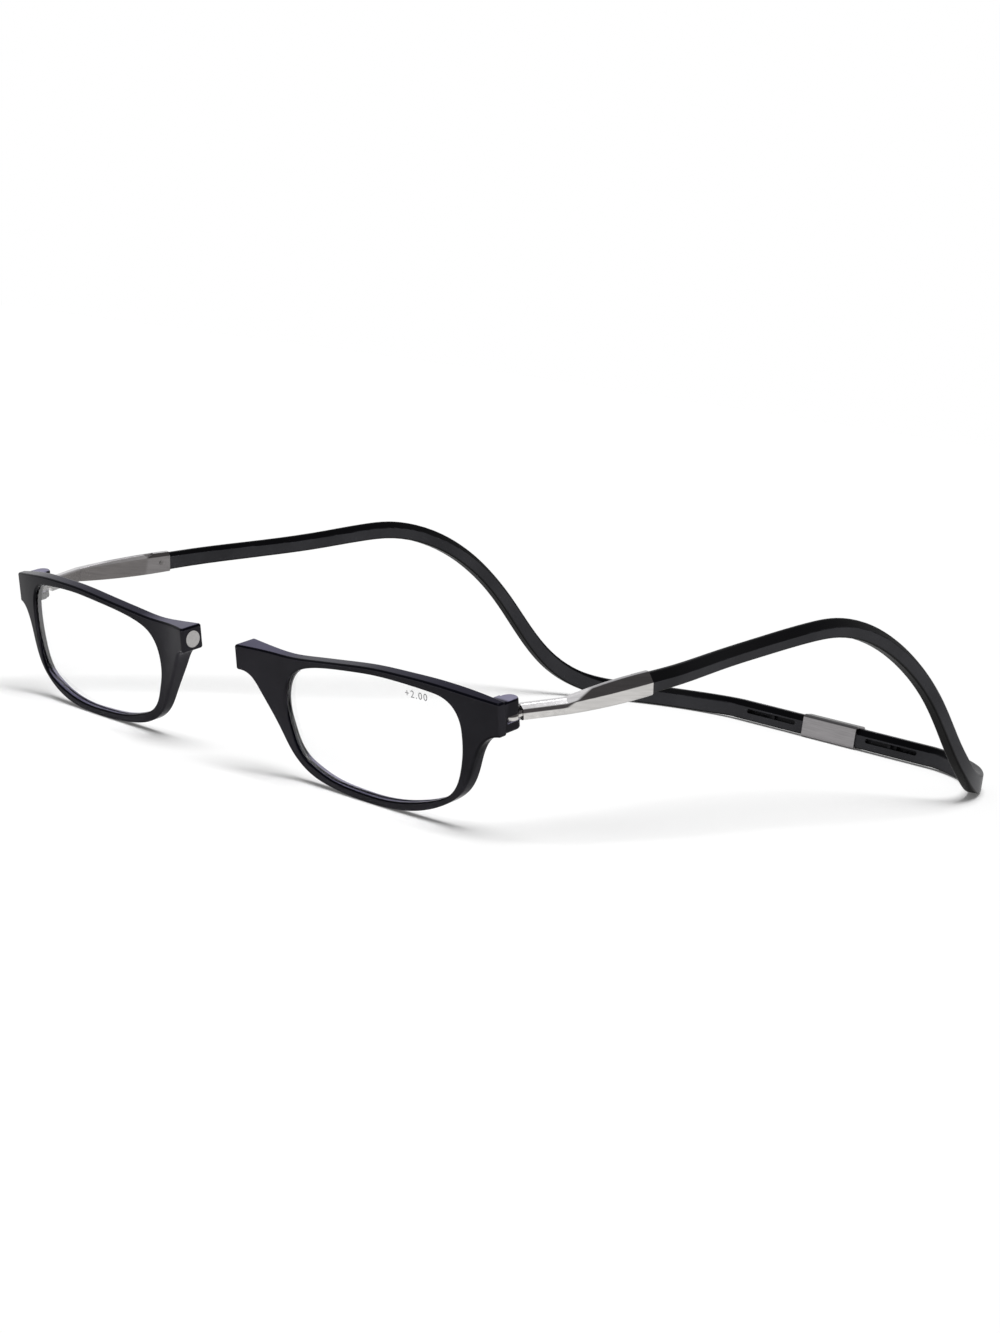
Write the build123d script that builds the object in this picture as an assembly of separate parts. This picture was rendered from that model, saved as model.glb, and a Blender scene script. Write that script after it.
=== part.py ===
from build123d import *
import os
from math import radians, sin, cos

os.makedirs("parts", exist_ok=True)

# Magnetic bridge reading glasses standing on a table: X across the face, -Y the front,
# Z up. The rims rest on their lower edges and the rear of the neck band on its sleeve.
# Every piece of the +X side is built once and mirrored for the other side.

# Driving sizes of the whole object
side_reach = 76.8        # mid plane to the outer front corner of a rim
bridge_half_gap = 8.5    # mid plane to each magnet face, bridge open
band_depth = 216.0       # hinge line to the middle of the rear band
arch_height = 42.5       # table to the highest point of the band's centre line
rim_height = 29.0        # lower edge to highest point of a rim
rim_lean = 15.9          # degrees the rims lean forward on the table
closing_travel = 8.4     # slide of each half towards the middle
opening_travel = 7.0     # slide of each half outwards

# Rim
rim_chord = side_reach - bridge_half_gap
edge_round = 0.5
lip_share = 0.8
rim_set_back = 5.8       # moves the leaned rims back to the hinge line

# Outlines of a rim: share of the chord from the outer end, share of the height
top_shares = [(0.0, 0.900), (0.120, 0.950), (0.227, 0.984), (0.330, 0.998), (0.430, 0.998),
              (0.556, 0.972), (0.693, 0.933), (0.805, 0.907), (0.893, 0.915), (1.0, 0.935)]
low_shares = [(1.0, 0.748), (0.957, 0.715), (0.926, 0.610), (0.893, 0.480), (0.858, 0.345),
              (0.814, 0.190), (0.747, 0.079), (0.656, 0.025), (0.540, 0.002), (0.440, 0.0),
              (0.353, 0.012), (0.264, 0.055), (0.190, 0.128), (0.132, 0.235), (0.097, 0.390),
              (0.073, 0.545), (0.048, 0.627), (0.0, 0.664)]
aperture_shares = [(0.123, 0.676), (0.123, 0.534), (0.133, 0.390), (0.151, 0.272), (0.176, 0.200),
                   (0.212, 0.155), (0.278, 0.107), (0.373, 0.066), (0.454, 0.055), (0.527, 0.059),
                   (0.615, 0.072), (0.673, 0.097), (0.717, 0.128), (0.761, 0.176), (0.796, 0.269),
                   (0.814, 0.376), (0.827, 0.486), (0.827, 0.607), (0.811, 0.717), (0.780, 0.797),
                   (0.729, 0.852), (0.644, 0.897), (0.527, 0.931), (0.425, 0.948), (0.322, 0.941),
                   (0.227, 0.917), (0.176, 0.886), (0.149, 0.838), (0.132, 0.772)]

# Plan of a rim: share of the chord, share of the bow for the front face and for the back face
rim_bow = 8.6
front_shares = [(0.0, 0.0), (0.120, 0.267), (0.293, 0.520), (0.475, 0.625), (0.659, 0.610),
                (0.761, 0.575), (0.835, 0.575), (0.908, 0.665), (0.960, 0.785), (1.0, 0.880)]
back_shares = [(0.0, -0.240), (0.120, -0.110), (0.293, 0.150), (0.475, 0.260), (0.659, 0.250),
               (0.761, 0.225), (0.835, 0.235), (0.908, 0.240), (0.960, 0.235), (1.0, 0.225)]

# Lens, its front face in plan as shares of the chord and of the bow
lens_shares = [(0.060, 0.110), (0.475, 0.510), (0.895, 0.430)]
lens_thickness = 1.5
lens_rebate = 0.55
lens_clearance = 0.04
half_share = 0.5
full_share = 1.0

# Magnet
magnet_radius = 1.8
magnet_thickness = 1.6
magnet_clearance = 0.03
magnet_rise_share = 0.47
magnet_depth_share = 0.54

# Hinge
clevis_reach = 6.9
clevis_width = 4.4
ear_step = 0.25
ear_radius = 1.95
ear_round = 0.5
slot_drop = 3.8
slot_height = 1.3
eye_radius = 1.85
eye_thickness = 1.2
pin_radius = 0.8
pin_clearance = 0.04
head_radius = 1.2
head_height = 0.6
pin_cover = 0.8
slot_back = 2.5
driver_depth = 0.35
driver_width = 0.4
tongue_width = 2.0
rod_start = 2.75

# Arm
rod_width = 2.3
rod_height = 3.2
rod_bevel_shares = (0.3, 0.12)
kink_reach = 16.3
kink_height = 26.5
kink_flare = 1.2
socket_reach = 41.5
socket_height = 30.95
socket_width = 3.0
socket_tall = 4.8
blade_mid_share = 0.5
blade_width = 2.6
blade_height = 4.7
tenon_length = 5.0
tenon_width = 1.2
tenon_height = 2.0
tenon_clearance = 0.03
rivet_radius = 0.5
rivet_cover = 0.6
scoop_radius = 2.0
scoop_depth = 0.5
scoop_width = 1.2
scoop_setback = 5.8

# Neck band: centre line as shares of the way from the straight rear to the side reach, of
# the depth and of the arch height
path_shares = [(0.9349, 0.313, 0.836), (0.8971, 0.389, 0.904), (0.8834, 0.466, 0.977),
               (0.8783, 0.505, 1.000), (0.8714, 0.544, 0.992), (0.8629, 0.582, 0.956),
               (0.8577, 0.654, 0.812), (0.8543, 0.719, 0.588), (0.8303, 0.779, 0.320),
               (0.7943, 0.820, 0.181), (0.7291, 0.858, 0.104), (0.6331, 0.899, 0.071),
               (0.5149, 0.936, 0.065), (0.3691, 0.967, 0.065), (0.1891, 0.990, 0.069)]
band_thickness = 2.8
band_height = 4.1
band_rear_thickness = 3.2
band_rear_height = 5.2
section_round = 0.45
# Along the path: position share, how far the section has grown to its rear size, and the
# bevels of its upper outer and upper inner corner
growth_shares = [(0.0, -0.05, 0.45, 0.20), (0.15, -0.12, 0.45, 0.30), (0.33, 0.12, 0.43, 0.34),
                 (0.42, 0.10, 0.34, 0.34), (0.55, -0.20, 0.18, 0.20), (0.66, 0.0, 0.14, 0.14),
                 (0.75, 0.5, 0.12, 0.14), (0.83, 0.9, 0.12, 0.25), (1.0, 1.0, 0.12, 0.30)]
section_count = 25

# Rear adjuster
sleeve_wall = 0.5
slide_clearance = 0.05
web_half = 0.3
tail_setback = 0.05
straight_start = 32.0
cavity_spare = 0.5
strap_half = 21.5
strap_thickness = 1.2
strap_height = 2.4
peg_radius = 0.55
peg_clearance = 0.06
peg_place = 19.5
peg_recess = 0.2


def outline_points(shares):
    return [(side_reach - u * rim_chord, v * rim_height) for u, v in shares]


def plan_points(shares, shift=0.0):
    return [(side_reach - u * rim_chord, shift - bow * rim_bow) for u, bow in shares]


def stand_up(face):
    # A face drawn in X and height becomes a solid that runs front to back
    return Pos(0, rim_chord, 0) * Rot(90, 0, 0) * extrude(face, amount=2 * rim_chord)


CENTRED = (Align.CENTER, Align.CENTER, Align.MIN)
block_top = top_shares[0][1] * rim_height - ear_step
block_base = low_shares[-1][1] * rim_height + ear_step
block_height = block_top - block_base
block_side = side_reach - ear_step
pin_x = block_side - ear_radius
pin_y = clevis_reach - ear_radius
slot_z = block_top - slot_drop
face_low = low_shares[0][1] * rim_height
face_high = top_shares[-1][1] * rim_height
face_front = front_shares[-1][1] * rim_bow
face_back = back_shares[-1][1] * rim_bow
magnet_z = face_low + (face_high - face_low) * magnet_rise_share
magnet_y = (face_front - face_back) * magnet_depth_share - face_front
kink_point = Vector(side_reach + kink_flare, kink_reach, kink_height)
socket_point = Vector(side_reach, socket_reach, socket_height)
arm_rise = (socket_point - kink_point).normalized()
socket_way = Vector(0, arm_rise.Y, arm_rise.Z).normalized()
sleeve_half = web_half + closing_travel + 2 * tail_setback
sleeve_thick = band_rear_thickness + 2 * (slide_clearance + sleeve_wall)
sleeve_tall = band_rear_height + 2 * (slide_clearance + sleeve_wall)
tail_end = sleeve_half - tail_setback
peg_reach = peg_radius + 2 * peg_clearance
slot_start = peg_place - opening_travel - peg_reach
slot_end = peg_place + closing_travel + peg_reach
cavity_end = strap_half + closing_travel + cavity_spare
rear_centre = Vector(0, band_depth, sleeve_tall / 2)


def grown_loop(points, grow):
    # Moves each point of a closed loop outwards, square to the line between its neighbours
    loop = [Vector(*p) for p in points]
    moved = []
    for i, point in enumerate(loop):
        along = (loop[(i + 1) % len(loop)] - loop[i - 1]).normalized()
        moved.append(point + Vector(-along.Y, along.X) * grow)
    return moved


def aperture_face(grow=0.0):
    loop = Spline(*grown_loop(outline_points(aperture_shares), grow), periodic=True)
    return make_face([loop.trim(0, half_share), loop.trim(half_share, full_share)])


def rim_outline():
    top = outline_points(top_shares)
    low = outline_points(low_shares)
    edges = [Spline(*top), Line(top[-1], low[0]), Spline(*low), Line(low[-1], top[0])]
    return make_face(edges)


def rim_plan():
    front = plan_points(front_shares)
    back = plan_points(back_shares)
    edges = [Spline(*front), Line(front[-1], back[-1]), Spline(*back), Line(back[0], front[0])]
    return Pos(0, 0, -rim_height / 2) * extrude(make_face(edges), amount=2 * rim_height)


def inside(small, big):
    across = small.min.X > big.min.X - edge_round and small.max.X < big.max.X + edge_round
    upright = small.min.Z > big.min.Z - edge_round and small.max.Z < big.max.Z + edge_round
    return across and upright


def hinge_block():
    # Square end piece a small step inside the rim's outline, with ears around the pin
    box = Box(clevis_width, pin_y - edge_round, block_height, align=(Align.MAX, Align.MIN, Align.MIN))
    ears = Pos(pin_x, pin_y, block_base) * Cylinder(ear_radius, block_height, align=CENTRED)
    block = Pos(block_side, edge_round, block_base) * box + ears
    faces = block.faces().sort_by(Axis.Z)
    return fillet(faces[0].edges() + faces[-1].edges(), ear_round)


def rim_body():
    body = stand_up(rim_outline()) & rim_plan()
    body = fillet(body.edges(), edge_round) + hinge_block()
    window = stand_up(aperture_face())
    box = window.bounding_box()
    body -= window
    lips = [e for e in body.edges() if e.geom_type == GeomType.BSPLINE and inside(e.bounding_box(), box)]
    return fillet(lips, edge_round * lip_share)


upright_rim = rim_body()
leaned_box = (Rot(rim_lean, 0, 0) * upright_rim).bounding_box()
table_rise = -leaned_box.min.Z
front_most = leaned_box.min.Y + rim_set_back
rear_most = band_depth + sleeve_thick / 2
home = Pos(0, -(front_most + rear_most) / 2, 0)


def lean(shape):
    return Pos(0, rim_set_back, table_rise) * Rot(rim_lean, 0, 0) * shape


def lean_point(x, y, z):
    c, s = cos(radians(rim_lean)), sin(radians(rim_lean))
    return Vector(x, y * c - z * s + rim_set_back, y * s + z * c + table_rise)


def rim():
    slot = Box(2 * clevis_width, 2 * clevis_reach, slot_height, align=(Align.CENTER, Align.MIN, Align.CENTER))
    body = upright_rim - Pos(pin_x, pin_y - slot_back, slot_z) * slot
    body -= lens_solid(lens_clearance)
    body -= Pos(bridge_half_gap, magnet_y, magnet_z) * Rot(0, 90, 0) * Cylinder(
        magnet_radius + magnet_clearance, magnet_thickness + magnet_clearance, align=CENTRED)
    body -= hinge_pin()
    return lean(body)


def lens_solid(grow):
    # Two shallow arcs in plan bound the lens front and back
    front = plan_points(lens_shares, -grow)
    back = plan_points(lens_shares, lens_thickness + grow)
    edges = [ThreePointArc(*front), Line(front[-1], back[-1]), ThreePointArc(*back),
             Line(back[0], front[0])]
    slab = extrude(make_face(edges), amount=2 * rim_height)
    return slab & stand_up(aperture_face(lens_rebate + grow))


def hinge_pin():
    # Slotted screw put in from below, its head sunk in the lower ear and its tip covered
    shank = Cylinder(pin_radius, block_height - pin_cover, align=CENTRED)
    head = Cylinder(head_radius, head_height, align=CENTRED)
    return Pos(pin_x, pin_y, block_base) * (shank + head)


def hinge_screw():
    groove = Pos(pin_x, pin_y, block_base) * Box(2 * head_radius, driver_width, driver_depth, align=CENTRED)
    return lean(hinge_pin() - groove)


def magnet():
    disc = Cylinder(magnet_radius, magnet_thickness, align=CENTRED)
    return lean(Pos(bridge_half_gap, magnet_y, magnet_z) * Rot(0, 90, 0) * disc)


def section(place, width, height, bevels):
    # Rounded bar section, bevelled along its upper outer and upper inner corner
    w, h = width / 2, height / 2
    outer, inner = bevels
    corners = [(-w, -h), (w, -h), (w, h - outer * height), (w - outer * width, h),
               (inner * width - w, h), (-w, h - inner * height)]
    face = make_face(Polyline(*corners, close=True))
    return place * fillet(face.vertices(), section_round)


def place_across(point, way):
    # Plane across a path: local X points outwards, local Y upwards
    outwards = way.cross(Vector(0, 0, 1)).normalized()
    return Plane(origin=point, x_dir=outwards, z_dir=way * -1)


def socket_place(back):
    return place_across(socket_point - socket_way * back, socket_way)


def tenon(grow):
    # Local Z of the socket plane runs forward into the arm
    bar = Box(tenon_width + grow, tenon_height + grow, tenon_length + grow, align=CENTRED)
    return socket_place(0) * bar


def rivet(grow):
    reach = socket_width - rivet_cover
    bar = Rot(0, 90, 0) * Cylinder(rivet_radius + grow, reach, align=CENTRED)
    return socket_place(tenon_length / 2) * Pos(-socket_width / 2, 0, 0) * bar


def arm():
    eye = Pos(pin_x, pin_y, slot_z) * (
        Cylinder(eye_radius, eye_thickness)
        + Pos(0, rod_start / 2, 0) * Box(tongue_width, rod_start, eye_thickness))
    eye -= Pos(pin_x, pin_y, slot_z) * Cylinder(pin_radius + pin_clearance, 2 * eye_thickness)
    start = lean_point(pin_x, pin_y + rod_start, slot_z)
    lean_way = lean_point(pin_x, pin_y + 2 * rod_start, slot_z) - start
    first = place_across(start, lean_way.normalized())
    bend = place_across(kink_point, (kink_point - start).normalized())
    rod = loft([section(first, rod_width, rod_height, rod_bevel_shares),
                section(bend, rod_width, rod_height, rod_bevel_shares)])
    middle = place_across(kink_point + (socket_point - kink_point) * blade_mid_share, arm_rise)
    bevels = growth_shares[0][2:]
    blade = loft([section(bend, rod_width, rod_height, rod_bevel_shares),
                  section(middle, blade_width, blade_height, bevels),
                  section(socket_place(0), socket_width, socket_tall, bevels)])
    scoop_top = socket_tall / 2 + scoop_radius - scoop_depth
    scoop = socket_place(scoop_setback) * Pos(-socket_width / 2, scoop_top, 0) * Rot(
        0, 90, 0) * Cylinder(scoop_radius, 2 * scoop_width)
    return lean(eye) + rod + blade - tenon(2 * tenon_clearance) - rivet(0.0) - scoop


def arm_rivet():
    return rivet(0.0)


def grown(at):
    # Reads the growth and the bevels of the band section at a share of its path
    for low, high in zip(growth_shares, growth_shares[1:]):
        if at <= high[0]:
            part_way = (at - low[0]) / (high[0] - low[0])
            return [a + (b - a) * part_way for a, b in zip(low, high)][1:]


def band_path():
    span = side_reach - straight_start
    points = [Vector(straight_start + x * span, y * band_depth, z * arch_height)
              for x, y, z in path_shares]
    last = rear_centre + Vector(straight_start, 0, 0)
    return Spline(socket_point, *points, last, tangents=[socket_way, Vector(-1, 0, 0)])


def neck_band():
    path = band_path()
    faces = []
    for i in range(section_count):
        at = i / (section_count - 1)
        growth, *bevels = grown(at)
        width = band_thickness + (band_rear_thickness - band_thickness) * growth
        height = band_height + (band_rear_height - band_height) * growth
        faces.append(section(place_across(path @ at, path % at), width, height, bevels))
    tail = extrude(faces[-1], amount=tail_end - straight_start)
    band = loft(faces) + tail + (tenon(0.0) - rivet(0.0))
    return band - strap_cavity() - peg_slot()


def strap_cavity():
    cavity = Box(cavity_end, strap_thickness + 2 * slide_clearance, strap_height + 2 * slide_clearance,
                 align=(Align.MIN, Align.CENTER, Align.CENTER))
    return Pos(*rear_centre) * cavity


def peg_slot():
    # Round-ended slot through the wall that faces the neck
    middle = (slot_start + slot_end) / 2
    shape = SlotOverall(slot_end - slot_start, 2 * (peg_radius + peg_clearance))
    slot = extrude(Rot(90, 0, 0) * shape, amount=band_rear_thickness)
    return Pos(*rear_centre) * Pos(middle, 0, 0) * slot


def core_strap():
    strap = Box(2 * strap_half, strap_thickness, strap_height)
    for side in (-1, 1):
        strap -= Pos(side * peg_place, 0, 0) * Rot(90, 0, 0) * Cylinder(peg_radius, 2 * strap_thickness)
    return Pos(*rear_centre) * strap


def stop_peg():
    # From the back of the strap to just below the neck-side face of the band
    reach = band_rear_thickness / 2 + strap_thickness / 2 - peg_recess
    peg = Rot(90, 0, 0) * Cylinder(peg_radius, reach, align=CENTRED)
    return Pos(*rear_centre) * Pos(peg_place, strap_thickness / 2, 0) * peg


def rear_sleeve():
    shell = Box(2 * sleeve_half, sleeve_thick, sleeve_tall)
    shell = fillet(shell.edges().filter_by(Axis.X), section_round + sleeve_wall)
    bore = Box(sleeve_half - web_half, band_rear_thickness + 2 * slide_clearance,
               band_rear_height + 2 * slide_clearance, align=(Align.MIN, Align.CENTER, Align.CENTER))
    bore = fillet(bore.edges().filter_by(Axis.X), section_round)
    for side in (0, 180):
        shell -= Rot(0, 0, side) * Pos(web_half, 0, 0) * bore
    shell -= Box(2 * sleeve_half, strap_thickness, strap_height)
    return Pos(*rear_centre) * shell


def save(shape, name):
    # Moved so that the middle of the whole object stands over the origin
    export_step(home * shape, "parts/" + name + ".step")


def save_pair(shape, name):
    save(shape, name + "_left")
    save(mirror(shape, about=Plane.YZ), name + "_right")


save_pair(rim(), "rim")
save_pair(lean(lens_solid(0.0)), "lens")
save_pair(magnet(), "bridge_magnet")
save_pair(hinge_screw(), "hinge_screw")
save_pair(arm(), "arm")
save_pair(arm_rivet(), "arm_rivet")
save_pair(neck_band(), "neck_band")
save_pair(stop_peg(), "stop_peg")
save(rear_sleeve(), "rear_sleeve")
save(core_strap(), "core_strap")
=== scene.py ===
import math

import bpy
from mathutils import Matrix, Vector
from mathutils.bvhtree import BVHTree


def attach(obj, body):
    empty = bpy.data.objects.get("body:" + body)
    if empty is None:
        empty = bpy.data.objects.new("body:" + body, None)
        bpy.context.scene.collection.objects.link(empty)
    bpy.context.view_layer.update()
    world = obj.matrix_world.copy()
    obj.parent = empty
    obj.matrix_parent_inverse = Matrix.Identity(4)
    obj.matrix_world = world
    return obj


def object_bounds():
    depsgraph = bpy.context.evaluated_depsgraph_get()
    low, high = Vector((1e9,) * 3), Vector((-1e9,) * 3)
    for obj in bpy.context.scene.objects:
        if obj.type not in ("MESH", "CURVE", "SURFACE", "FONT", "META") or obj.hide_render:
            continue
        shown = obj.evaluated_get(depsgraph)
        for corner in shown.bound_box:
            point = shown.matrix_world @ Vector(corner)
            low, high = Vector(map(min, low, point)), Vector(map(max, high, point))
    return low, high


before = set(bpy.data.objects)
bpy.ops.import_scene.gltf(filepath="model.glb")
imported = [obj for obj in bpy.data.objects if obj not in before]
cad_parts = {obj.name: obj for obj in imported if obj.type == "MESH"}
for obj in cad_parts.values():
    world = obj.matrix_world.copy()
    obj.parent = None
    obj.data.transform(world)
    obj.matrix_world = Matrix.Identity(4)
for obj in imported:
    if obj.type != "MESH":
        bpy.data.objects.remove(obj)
cad_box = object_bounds()

# Rims.
# Two half frames moulded in a very dark navy, nearly black plastic and polished. Painted sheen: the
# upper faces are painted the bluest and the upright faces a faint dark grey, as painted
# reflections.
plastic_refraction = 1.5


def new_finish(name, metallic, specular):
    """Principled material with its nodes, its links and its shader"""
    finish = bpy.data.materials.new(name)
    finish.use_nodes = True
    nodes, links = finish.node_tree.nodes, finish.node_tree.links
    shader = nodes["Principled BSDF"]
    shader.inputs["Metallic"].default_value = metallic
    shader.inputs["Specular IOR Level"].default_value = specular
    shader.inputs["IOR"].default_value = plastic_refraction
    return finish, nodes, links, shader


def grain(nodes, links, scale, stretch=(1, 1, 1), detail=4.0):
    """Noise on the piece's own coordinates, drawn out along one way for brush lines"""
    place = nodes.new("ShaderNodeTexCoord")
    mapping = nodes.new("ShaderNodeMapping")
    mapping.inputs["Scale"].default_value = stretch
    noise = nodes.new("ShaderNodeTexNoise")
    noise.inputs["Scale"].default_value = scale
    noise.inputs["Detail"].default_value = detail
    links.new(place.outputs["Object"], mapping.inputs["Vector"])
    links.new(mapping.outputs["Vector"], noise.inputs["Vector"])
    return noise.outputs["Fac"]


def spread(nodes, links, source, low, high, start=0.3, end=0.7):
    """Low to high as the source goes from start to end, and no further"""
    span = nodes.new("ShaderNodeMapRange")
    span.inputs["From Min"].default_value = start
    span.inputs["From Max"].default_value = end
    span.inputs["To Min"].default_value = low
    span.inputs["To Max"].default_value = high
    links.new(source, span.inputs["Value"])
    return span.outputs["Result"]


def colours(nodes, links, source, steps):
    """Colour ramp with the given places and colours"""
    node = nodes.new("ShaderNodeValToRGB")
    ramp = node.color_ramp
    while len(ramp.elements) < len(steps):
        ramp.elements.new(0.5)
    for element, (place, colour) in zip(ramp.elements, steps):
        element.position = place
        element.color = (*colour, 1)
    links.new(source, node.inputs["Fac"])
    return node.outputs["Color"]


def face_slope(nodes, links):
    """0 on faces that look down, 0.5 on upright faces, 1 on faces that look up"""
    place = nodes.new("ShaderNodeTexCoord")
    split = nodes.new("ShaderNodeSeparateXYZ")
    links.new(place.outputs["Normal"], split.inputs["Vector"])
    return spread(nodes, links, split.outputs["Z"], 0.0, 1.0, start=-1.0, end=1.0)


def along(nodes, links, way, start, end, mirrored=False):
    """0 to 1 between two distances in metres along a direction of the object's own frame"""
    place = nodes.new("ShaderNodeTexCoord")
    spot = place.outputs["Object"]
    if mirrored:
        folded = nodes.new("ShaderNodeVectorMath")
        folded.operation = "ABSOLUTE"
        links.new(spot, folded.inputs[0])
        spot = folded.outputs["Vector"]
    reach = nodes.new("ShaderNodeVectorMath")
    reach.operation = "DOT_PRODUCT"
    reach.inputs[1].default_value = way
    links.new(spot, reach.inputs[0])
    return spread(nodes, links, reach.outputs["Value"], 0.0, 1.0, start=start, end=end)


def mixed(nodes, links, first, second):
    """Colour mix of two colours, with its node for the way and the share of the mix"""
    mix = nodes.new("ShaderNodeMix")
    mix.data_type = "RGBA"
    links.new(first, mix.inputs["A"])
    links.new(second, mix.inputs["B"])
    return mix, mix.outputs["Result"]


def blend(nodes, links, share, first, second):
    """The first colour where the share is 0, the second where it is 1"""
    mix, colour = mixed(nodes, links, first, second)
    links.new(share, mix.inputs["Factor"])
    return colour


def mottled(nodes, links, colour, source, low, high):
    """The colour, darker and lighter by a few per cent along a noise"""
    mix, colour = mixed(nodes, links, colour, spread(nodes, links, source, low, high))
    mix.blend_type = "MULTIPLY"
    mix.inputs["Factor"].default_value = 1.0
    return colour


def relief(nodes, links, source, strength, distance):
    """Surface normal with the noise raised by the distance in metres"""
    bump = nodes.new("ShaderNodeBump")
    bump.inputs["Strength"].default_value = strength
    bump.inputs["Distance"].default_value = distance
    links.new(source, bump.inputs["Height"])
    return bump.outputs["Normal"]


def dress(names, finish):
    """Gives the named CAD pieces the finish alone"""
    for name in names:
        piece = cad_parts[name]
        piece.data.materials.clear()
        piece.data.materials.append(finish)


polished, nodes, links, shader = new_finish("polished_navy_plastic", 0.0, 0.02)
slope = face_slope(nodes, links)
cloud = grain(nodes, links, 90, detail=3)
orange_peel = grain(nodes, links, 900, detail=2)
# Painted sheen by face direction: faces looking down a little darker, upright faces a dark grey,
# upward faces bluer; painted reflections on the dark navy.
painted_charcoal_sheen = [(0.42, (0.030, 0.029, 0.034)), (0.52, (0.028, 0.027, 0.033))]
ink_blue = (0.001, 0.001, 0.003)
navy = colours(nodes, links, slope, [
    (0.30, (0.012, 0.012, 0.014)), *painted_charcoal_sheen, (0.60, ink_blue), (0.95, ink_blue),
    (0.985, (0.014, 0.013, 0.026))])
painted_top_sheen = colours(nodes, links, slope, [
    *painted_charcoal_sheen, (0.60, ink_blue), (0.93, ink_blue), (0.975, (0.075, 0.071, 0.112))])
painted_ear_sheen = colours(nodes, links, slope, [
    (0.40, (0.034, 0.033, 0.038)), (0.60, (0.002, 0.002, 0.004)), (0.85, (0.002, 0.002, 0.004)),
    (0.93, (0.20, 0.19, 0.27))])
# Painted highlights: the tops of the bridge blocks, the lower lips and most of all the hinge ears
# are painted bluer and lighter, as if lit from above
bridge = along(nodes, links, (-1, 0, 0), -0.026, -0.018, mirrored=True)
lower_lip = along(nodes, links, (0, 0, -1), -0.0120, -0.0080)
ears = along(nodes, links, (0, 1, 0), -0.1034, -0.1026)
for zone, look in ((bridge, painted_top_sheen), (lower_lip, painted_top_sheen), (ears, painted_ear_sheen)):
    navy = blend(nodes, links, zone, navy, look)
links.new(mottled(nodes, links, navy, cloud, 0.85, 1.15), shader.inputs["Base Color"])
links.new(spread(nodes, links, cloud, 0.12, 0.20), shader.inputs["Roughness"])
links.new(relief(nodes, links, orange_peel, 0.04, 0.0002), shader.inputs["Normal"])
dress(["rim_left", "rim_right"], polished)

# Lenses.
# Clear polycarbonate lenses with a faint hard coat, snapped into the grooves of the rims.
# They let the light through to the table, so their shadow is only a light veil.
clear, nodes, links, shader = new_finish("clear_lens", 0.0, 0.35)
shader.inputs["Transmission Weight"].default_value = 1.0
haze = grain(nodes, links, 120, detail=2)
links.new(colours(nodes, links, haze, [(0.3, (0.985, 0.99, 0.99)), (0.7, (1.0, 1.0, 1.0))]),
          shader.inputs["Base Color"])
links.new(spread(nodes, links, haze, 0.0, 0.012), shader.inputs["Roughness"])
rays = nodes.new("ShaderNodeLightPath")
open_way = nodes.new("ShaderNodeBsdfTransparent")
open_way.inputs["Color"].default_value = (0.94, 0.94, 0.95, 1)
both = nodes.new("ShaderNodeMixShader")
links.new(rays.outputs["Is Shadow Ray"], both.inputs["Fac"])
links.new(shader.outputs["BSDF"], both.inputs[1])
links.new(open_way.outputs["BSDF"], both.inputs[2])
links.new(both.outputs["Shader"], nodes["Material Output"].inputs["Surface"])
dress(["lens_left", "lens_right"], clear)

# Lens print.
# The strength of the lens as plain figures, pad printed in thin grey ink near the upper
# outer corner of the left lens. Each point of the flat print is laid on the lens's front.
figures = "+2.00"
figure_height = 0.0020
figure_spacing = 1.25
ink_thickness = 0.00004
weld_distance = 0.000002
print_place = Vector((0.05773, 0, 0.02450))
before_lens = -0.5

tree = bpy.data.node_groups.new("printed_figures", "GeometryNodeTree")
tree.interface.new_socket("Print", in_out="OUTPUT", socket_type="NodeSocketGeometry")
for label, kind in (("Figures", "NodeSocketString"), ("Height", "NodeSocketFloat"),
                    ("Thickness", "NodeSocketFloat"), ("Ink", "NodeSocketMaterial")):
    tree.interface.new_socket(label, in_out="INPUT", socket_type=kind)
given = tree.nodes.new("NodeGroupInput")
result = tree.nodes.new("NodeGroupOutput")
write = tree.nodes.new("GeometryNodeStringToCurves")
write.align_x = "CENTER"
write.align_y = "MIDDLE"
write.inputs["Character Spacing"].default_value = figure_spacing
loose = tree.nodes.new("GeometryNodeRealizeInstances")
fill = tree.nodes.new("GeometryNodeFillCurve")
raised = tree.nodes.new("GeometryNodeExtrudeMesh")
under = tree.nodes.new("GeometryNodeFlipFaces")
joined = tree.nodes.new("GeometryNodeJoinGeometry")
welded = tree.nodes.new("GeometryNodeMergeByDistance")
welded.inputs["Distance"].default_value = weld_distance
inked = tree.nodes.new("GeometryNodeSetMaterial")
for source, outlet, target, inlet in (
        (given, "Figures", write, "String"), (given, "Height", write, "Size"),
        (write, "Curve Instances", loose, "Geometry"), (loose, "Geometry", fill, "Curve"),
        (fill, "Mesh", raised, "Mesh"), (given, "Thickness", raised, "Offset Scale"),
        (fill, "Mesh", under, "Mesh"), (raised, "Mesh", joined, "Geometry"),
        (under, "Mesh", joined, "Geometry"), (joined, "Geometry", welded, "Geometry"),
        (welded, "Geometry", inked, "Geometry"), (given, "Ink", inked, "Material"),
        (inked, "Geometry", result, "Print")):
    tree.links.new(source.outputs[outlet], target.inputs[inlet])

ink, nodes, links, shader = new_finish("grey_ink", 0.0, 0.2)
speck = grain(nodes, links, 9000, detail=2)
links.new(colours(nodes, links, speck, [(0.35, (0.30, 0.30, 0.31)), (0.65, (0.42, 0.42, 0.43))]),
          shader.inputs["Base Color"])
links.new(spread(nodes, links, speck, 0.5, 0.7), shader.inputs["Roughness"])


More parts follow.
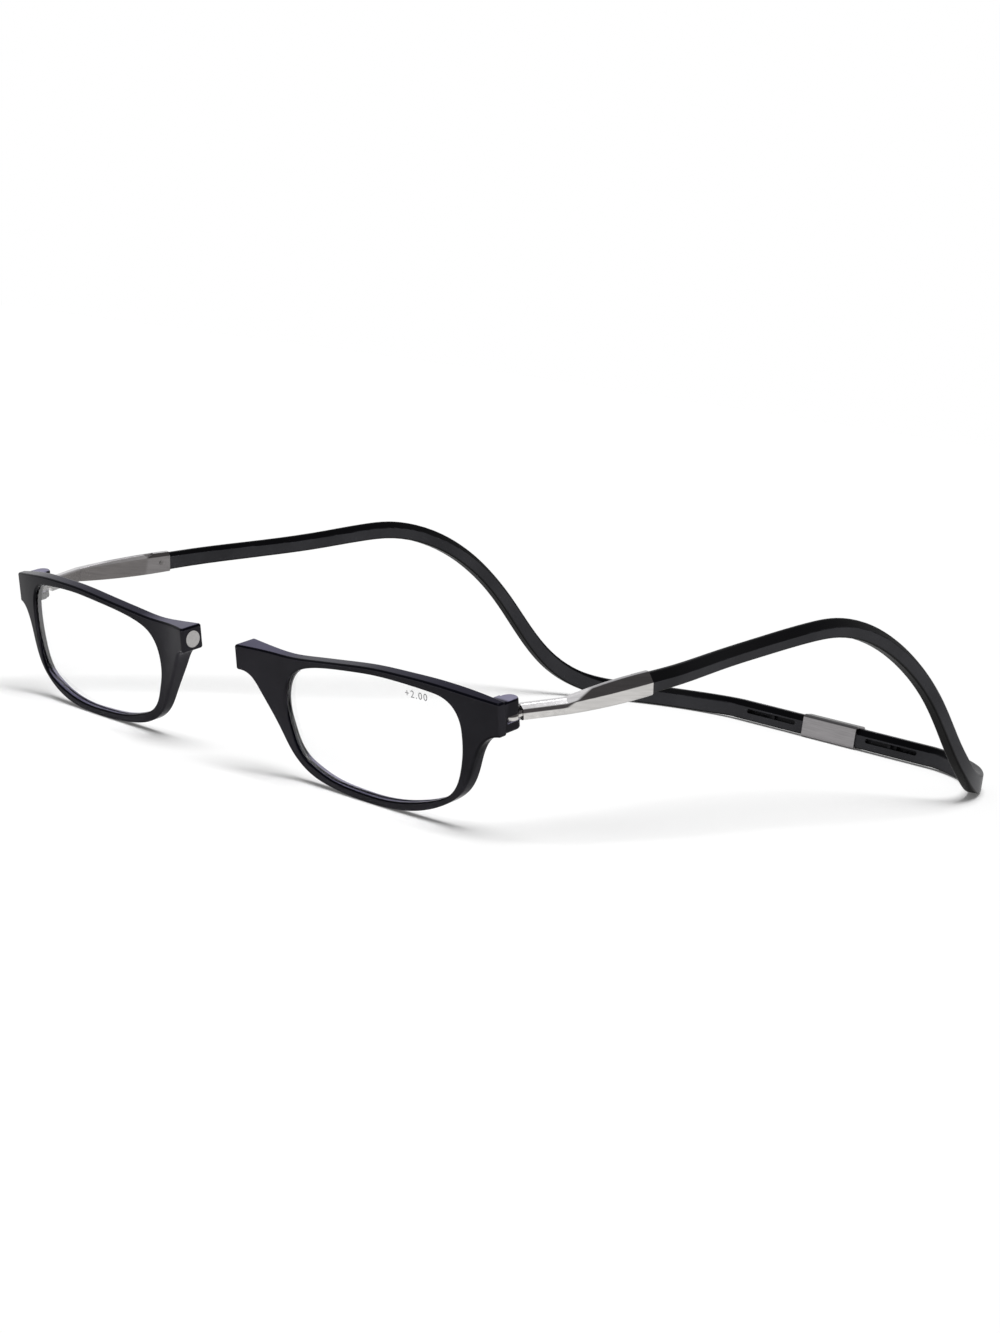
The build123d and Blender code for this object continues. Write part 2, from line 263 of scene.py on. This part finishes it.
def grown_mesh(name, tree, values):
    """Plain mesh object made by a node tree from the named values"""
    host = bpy.data.objects.new(name, bpy.data.meshes.new(name))
    bpy.context.collection.objects.link(host)
    growth = host.modifiers.new("growth", "NODES")
    growth.node_group = tree
    for item in tree.interface.items_tree:
        if item.name in values:
            growth[item.identifier] = values[item.name]
    bpy.context.view_layer.update()
    seen = host.evaluated_get(bpy.context.evaluated_depsgraph_get())
    mesh = bpy.data.meshes.new_from_object(seen)
    host.modifiers.clear()
    host.data = mesh
    return host


lens_print = grown_mesh("lens_print", tree, {
    "Figures": figures, "Height": figure_height, "Thickness": ink_thickness, "Ink": ink})
lens_front = BVHTree.FromObject(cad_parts["lens_left"], bpy.context.evaluated_depsgraph_get())
for vertex in lens_print.data.vertices:
    start = print_place + Vector((vertex.co.x, before_lens, vertex.co.y))
    spot, facing, _, _ = lens_front.ray_cast(start, Vector((0, 1, 0)))
    vertex.co = spot + facing * vertex.co.z
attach(lens_print, "front_left")

# Bridge magnets.
# Nickel-plated disc magnets pressed into the two bridge blocks, faces flush.
nickel, nodes, links, shader = new_finish("nickel_plate", 1.0, 0.5)
spots = grain(nodes, links, 1500)
links.new(colours(nodes, links, spots, [(0.3, (0.37, 0.36, 0.355)), (0.7, (0.45, 0.44, 0.435))]),
          shader.inputs["Base Color"])
links.new(spread(nodes, links, spots, 0.26, 0.40), shader.inputs["Roughness"])
links.new(relief(nodes, links, spots, 0.08, 0.0001), shader.inputs["Normal"])
dress(["bridge_magnet_left", "bridge_magnet_right"], nickel)

# Hinge screws and rivets.
# Small steel pins: a turned and slotted screw in each hinge, put in from below, and a darker
# drawn rivet through each arm's socket.
turned, nodes, links, shader = new_finish("turned_steel", 1.0, 0.5)
rings = grain(nodes, links, 2500, detail=3)
links.new(colours(nodes, links, rings, [(0.3, (0.46, 0.45, 0.45)), (0.7, (0.62, 0.61, 0.60))]),
          shader.inputs["Base Color"])
links.new(spread(nodes, links, rings, 0.22, 0.38), shader.inputs["Roughness"])
dress(["hinge_screw_left", "hinge_screw_right"], turned)

drawn, nodes, links, shader = new_finish("drawn_rivet_steel", 1.0, 0.5)
streaks = grain(nodes, links, 1800, stretch=(0.3, 1, 1), detail=3)
links.new(colours(nodes, links, streaks, [(0.3, (0.15, 0.145, 0.14)), (0.7, (0.21, 0.20, 0.20))]),
          shader.inputs["Base Color"])
links.new(spread(nodes, links, streaks, 0.30, 0.42), shader.inputs["Roughness"])
dress(["arm_rivet_left", "arm_rivet_right"], drawn)

# Arms.
# Stainless steel arms: a rod from the hinge, bent up into a flat blade that ends in the socket of
# the neck band. The sides are brushed along their length. Painted light: the bevel above the outer
# side is painted dark as a reflection, the tops carry a painted highlight, and the side next to the
# head is painted darker as shade.


def outer_side(nodes, links):
    """1 on faces that look away from the wearer's head, 0 on faces that look towards it"""
    place = nodes.new("ShaderNodeTexCoord")
    way = nodes.new("ShaderNodeSeparateXYZ")
    spot = nodes.new("ShaderNodeSeparateXYZ")
    hand = nodes.new("ShaderNodeMath")
    hand.operation = "SIGN"
    product = nodes.new("ShaderNodeMath")
    product.operation = "MULTIPLY"
    links.new(place.outputs["Normal"], way.inputs["Vector"])
    links.new(place.outputs["Object"], spot.inputs["Vector"])
    links.new(spot.outputs["X"], hand.inputs[0])
    links.new(way.outputs["X"], product.inputs[0])
    links.new(hand.outputs[0], product.inputs[1])
    return spread(nodes, links, product.outputs[0], 0.0, 1.0, start=-0.6, end=0.0)


steel, nodes, links, shader = new_finish("brushed_arm_steel", 1.0, 0.5)
slope = face_slope(nodes, links)
brush = grain(nodes, links, 400, stretch=(6, 0.25, 6), detail=5)
smear = grain(nodes, links, 60, detail=3)
painted_dark_bevel = (0.040, 0.037, 0.037)
rod_shade = (0.060, 0.055, 0.056)
outer_with_painted_sheen = colours(nodes, links, slope, [
    (0.30, (0.50, 0.49, 0.48)), (0.60, (0.58, 0.565, 0.55)), (0.68, painted_dark_bevel),
    (0.86, (0.038, 0.035, 0.037)), (0.93, (0.24, 0.235, 0.245)), (0.98, (0.30, 0.295, 0.305))])
# Painted reflection: across the rod a painted dark line runs between two painted light ones, in
# step with its rise
height = along(nodes, links, (0, -0.1975, 1), 0.04237, 0.04557)
painted_rod_reflection = colours(nodes, links, height, [
    (0.42, (0.60, 0.585, 0.57)), (0.48, rod_shade), (0.69, rod_shade), (0.75, (0.56, 0.55, 0.56))])
# The blade starts at a slant: below at the bend, above a few millimetres behind it
blade = along(nodes, links, (0, 1.69, -3.5), -0.2431, -0.2415)
inner_painted_shade = colours(nodes, links, slope, [
    (0.35, (0.15, 0.14, 0.138)), (0.66, (0.16, 0.152, 0.15)), (0.90, (0.30, 0.29, 0.30))])
# The socket at the rear end is painted lighter on its inner side, with the painted dark bevel and a
# painted highlight on top there too
socket = along(nodes, links, (0, 1, 0), -0.0702, -0.0694)
collar = colours(nodes, links, slope, [
    (0.35, (0.19, 0.18, 0.18)), (0.60, (0.22, 0.21, 0.21)), (0.67, painted_dark_bevel), (0.85, painted_dark_bevel),
    (0.93, (0.60, 0.59, 0.60))])
inward = blend(nodes, links, socket, inner_painted_shade, collar)
outward = blend(nodes, links, blade, painted_rod_reflection, outer_with_painted_sheen)
sided = blend(nodes, links, outer_side(nodes, links), inward, outward)
links.new(mottled(nodes, links, sided, brush, 0.88, 1.10), shader.inputs["Base Color"])
links.new(spread(nodes, links, smear, 0.22, 0.34), shader.inputs["Roughness"])
links.new(relief(nodes, links, brush, 0.12, 0.0001), shader.inputs["Normal"])
dress(["arm_left", "arm_right"], steel)

# Neck bands.
# The springy band that goes round the neck, moulded in black plastic. The bevel along its upper
# outer edge is painted deep black as a dark reflection, and the upright sides are painted greyer as
# a sheen.
satin, nodes, links, shader = new_finish("satin_black_plastic", 0.0, 0.02)
slope = face_slope(nodes, links)
cloud = grain(nodes, links, 70, detail=3)
sand = grain(nodes, links, 2600, detail=3)
band_painted_bevel = (0.001, 0.001, 0.0015)
# Painted light by face direction: upright sides painted greyer as a sheen, the upper bevel painted
# deep black as a dark reflection.
black = colours(nodes, links, slope, [
    (0.20, (0.008, 0.008, 0.008)), (0.40, (0.036, 0.036, 0.038)), (0.56, (0.042, 0.042, 0.047)),
    (0.66, band_painted_bevel), (0.94, band_painted_bevel), (1.0, (0.008, 0.008, 0.010))])
links.new(mottled(nodes, links, black, cloud, 0.85, 1.2), shader.inputs["Base Color"])
links.new(spread(nodes, links, cloud, 0.30, 0.40), shader.inputs["Roughness"])
links.new(relief(nodes, links, sand, 0.10, 0.0001), shader.inputs["Normal"])
dress(["neck_band_left", "neck_band_right"], satin)

# Rear adjuster.
# A folded steel sleeve over the two band ends, brushed along the neck, with a flat black
# nylon strap inside that keeps both ends in line. The pegs in the rear slots are nylon too.
sleeve, nodes, links, shader = new_finish("brushed_sleeve_steel", 1.0, 0.5)
brush = grain(nodes, links, 700, stretch=(0.2, 5, 5), detail=5)
slope = face_slope(nodes, links)
# Painted reflection by face direction: the upright sides lighter, the upper faces and bevels
# painted dark.
folded = colours(nodes, links, slope, [
    (0.40, (0.26, 0.25, 0.255)), (0.56, (0.28, 0.27, 0.275)), (0.68, (0.045, 0.044, 0.046)),
    (0.96, (0.060, 0.058, 0.060))])
links.new(mottled(nodes, links, folded, brush, 0.85, 1.12), shader.inputs["Base Color"])
links.new(spread(nodes, links, brush, 0.30, 0.42), shader.inputs["Roughness"])
links.new(relief(nodes, links, brush, 0.10, 0.0001), shader.inputs["Normal"])
dress(["rear_sleeve"], sleeve)

nylon, nodes, links, shader = new_finish("black_nylon", 0.0, 0.1)
weft = grain(nodes, links, 1800, stretch=(0.3, 1, 1), detail=3)
links.new(colours(nodes, links, weft, [(0.3, (0.004, 0.004, 0.005)), (0.7, (0.010, 0.010, 0.012))]),
          shader.inputs["Base Color"])
links.new(spread(nodes, links, weft, 0.4, 0.55), shader.inputs["Roughness"])
dress(["core_strap", "stop_peg_left", "stop_peg_right"], nylon)

# Table and light.
# A white table under one broad soft light from above. The table and the sky show white
# to the camera and in reflections, and the table keeps the shadows.
table_reach = 6.0
table_white = 0.80
table_glow = 0.10
sky_light = 0.22
sky_shown = 1.0
sun_strength = 2.95
sun_spread = math.radians(42)
sun_way = Vector((0.15, -0.12, 1.0))


def seen_directly(nodes, links):
    """1 for rays from the camera, a reflection or a lens, 0 for the light that falls on things"""
    rays = nodes.new("ShaderNodeLightPath")
    seen = rays.outputs["Is Camera Ray"]
    for kind in ("Is Glossy Ray", "Is Transmission Ray"):
        either = nodes.new("ShaderNodeMath")
        either.operation = "MAXIMUM"
        links.new(seen, either.inputs[0])
        links.new(rays.outputs[kind], either.inputs[1])
        seen = either.outputs[0]
    return seen


paper = bpy.data.materials.new("white_table")
paper.use_nodes = True
nodes, links = paper.node_tree.nodes, paper.node_tree.links
nodes.remove(nodes["Principled BSDF"])
matt = nodes.new("ShaderNodeBsdfDiffuse")
matt.inputs["Color"].default_value = (table_white, table_white, table_white, 1)
glow = nodes.new("ShaderNodeEmission")
total = nodes.new("ShaderNodeAddShader")
lift = spread(nodes, links, seen_directly(nodes, links), 0.0, table_glow, start=0.0, end=1.0)
links.new(lift, glow.inputs["Strength"])
links.new(matt.outputs["BSDF"], total.inputs[0])
links.new(glow.outputs["Emission"], total.inputs[1])
links.new(total.outputs["Shader"], nodes["Material Output"].inputs["Surface"])
table_mesh = bpy.data.meshes.new("table_top")
corners = [(x * table_reach, y * table_reach, 0) for x, y in ((-1, -1), (1, -1), (1, 1), (-1, 1))]
table_mesh.from_pydata(corners, [], [(0, 1, 2, 3)])
table_top = bpy.data.objects.new("table_top", table_mesh)
table_mesh.materials.append(paper)
bpy.context.collection.objects.link(table_top)

sky = bpy.data.worlds.new("soft_sky")
bpy.context.scene.world = sky
sky.use_nodes = True
nodes, links = sky.node_tree.nodes, sky.node_tree.links
level = spread(nodes, links, seen_directly(nodes, links), sky_light, sky_shown, start=0.0, end=1.0)
links.new(level, nodes["Background"].inputs["Strength"])
nodes["Background"].inputs["Color"].default_value = (1, 1, 1, 1)

soft_sun = bpy.data.lights.new("broad_overhead_light", "SUN")
soft_sun.energy = sun_strength
soft_sun.angle = sun_spread
lamp = bpy.data.objects.new("broad_overhead_light", soft_sun)
lamp.rotation_euler = sun_way.to_track_quat("Z", "Y").to_euler()
bpy.context.collection.objects.link(lamp)

# Camera.
# Low three-quarter view from the wearer's left, with the slight roll of the photograph,
# placed from the middle of the whole object. Its focal length was solved in photo pixels.
aim_left, aim_front, aim_height = 0.05479, 0.08333, 0.02985
azimuth, elevation, roll = math.radians(42.728), math.radians(6.994), math.radians(8.22)
eye_distance = 0.519036
focal_pixels, frame_pixels = 2588.558, 1333
sensor_size = 36
nearest_seen, farthest_seen = 0.01, 50

middle = (Vector(cad_box[0]) + Vector(cad_box[1])) / 2
aim = Vector((middle.x + aim_left, middle.y - aim_front, aim_height))
back = Vector((math.sin(azimuth) * math.cos(elevation), -math.cos(azimuth) * math.cos(elevation),
               math.sin(elevation)))
level_right = Vector((math.cos(azimuth), math.sin(azimuth), 0))
level_up = level_right.cross(-back)
right = level_right * math.cos(roll) + level_up * math.sin(roll)
up = level_up * math.cos(roll) - level_right * math.sin(roll)
eye = aim + back * eye_distance
camera_data = bpy.data.cameras.new("camera")
camera_data.lens = focal_pixels * sensor_size / frame_pixels
camera_data.sensor_width = sensor_size
camera_data.clip_start, camera_data.clip_end = nearest_seen, farthest_seen
camera = bpy.data.objects.new("camera", camera_data)
camera.matrix_world = Matrix(((right.x, up.x, back.x, eye.x), (right.y, up.y, back.y, eye.y),
                              (right.z, up.z, back.z, eye.z), (0, 0, 0, 1)))
bpy.context.collection.objects.link(camera)
bpy.context.scene.camera = camera
bpy.context.scene.view_settings.view_transform = "Standard"
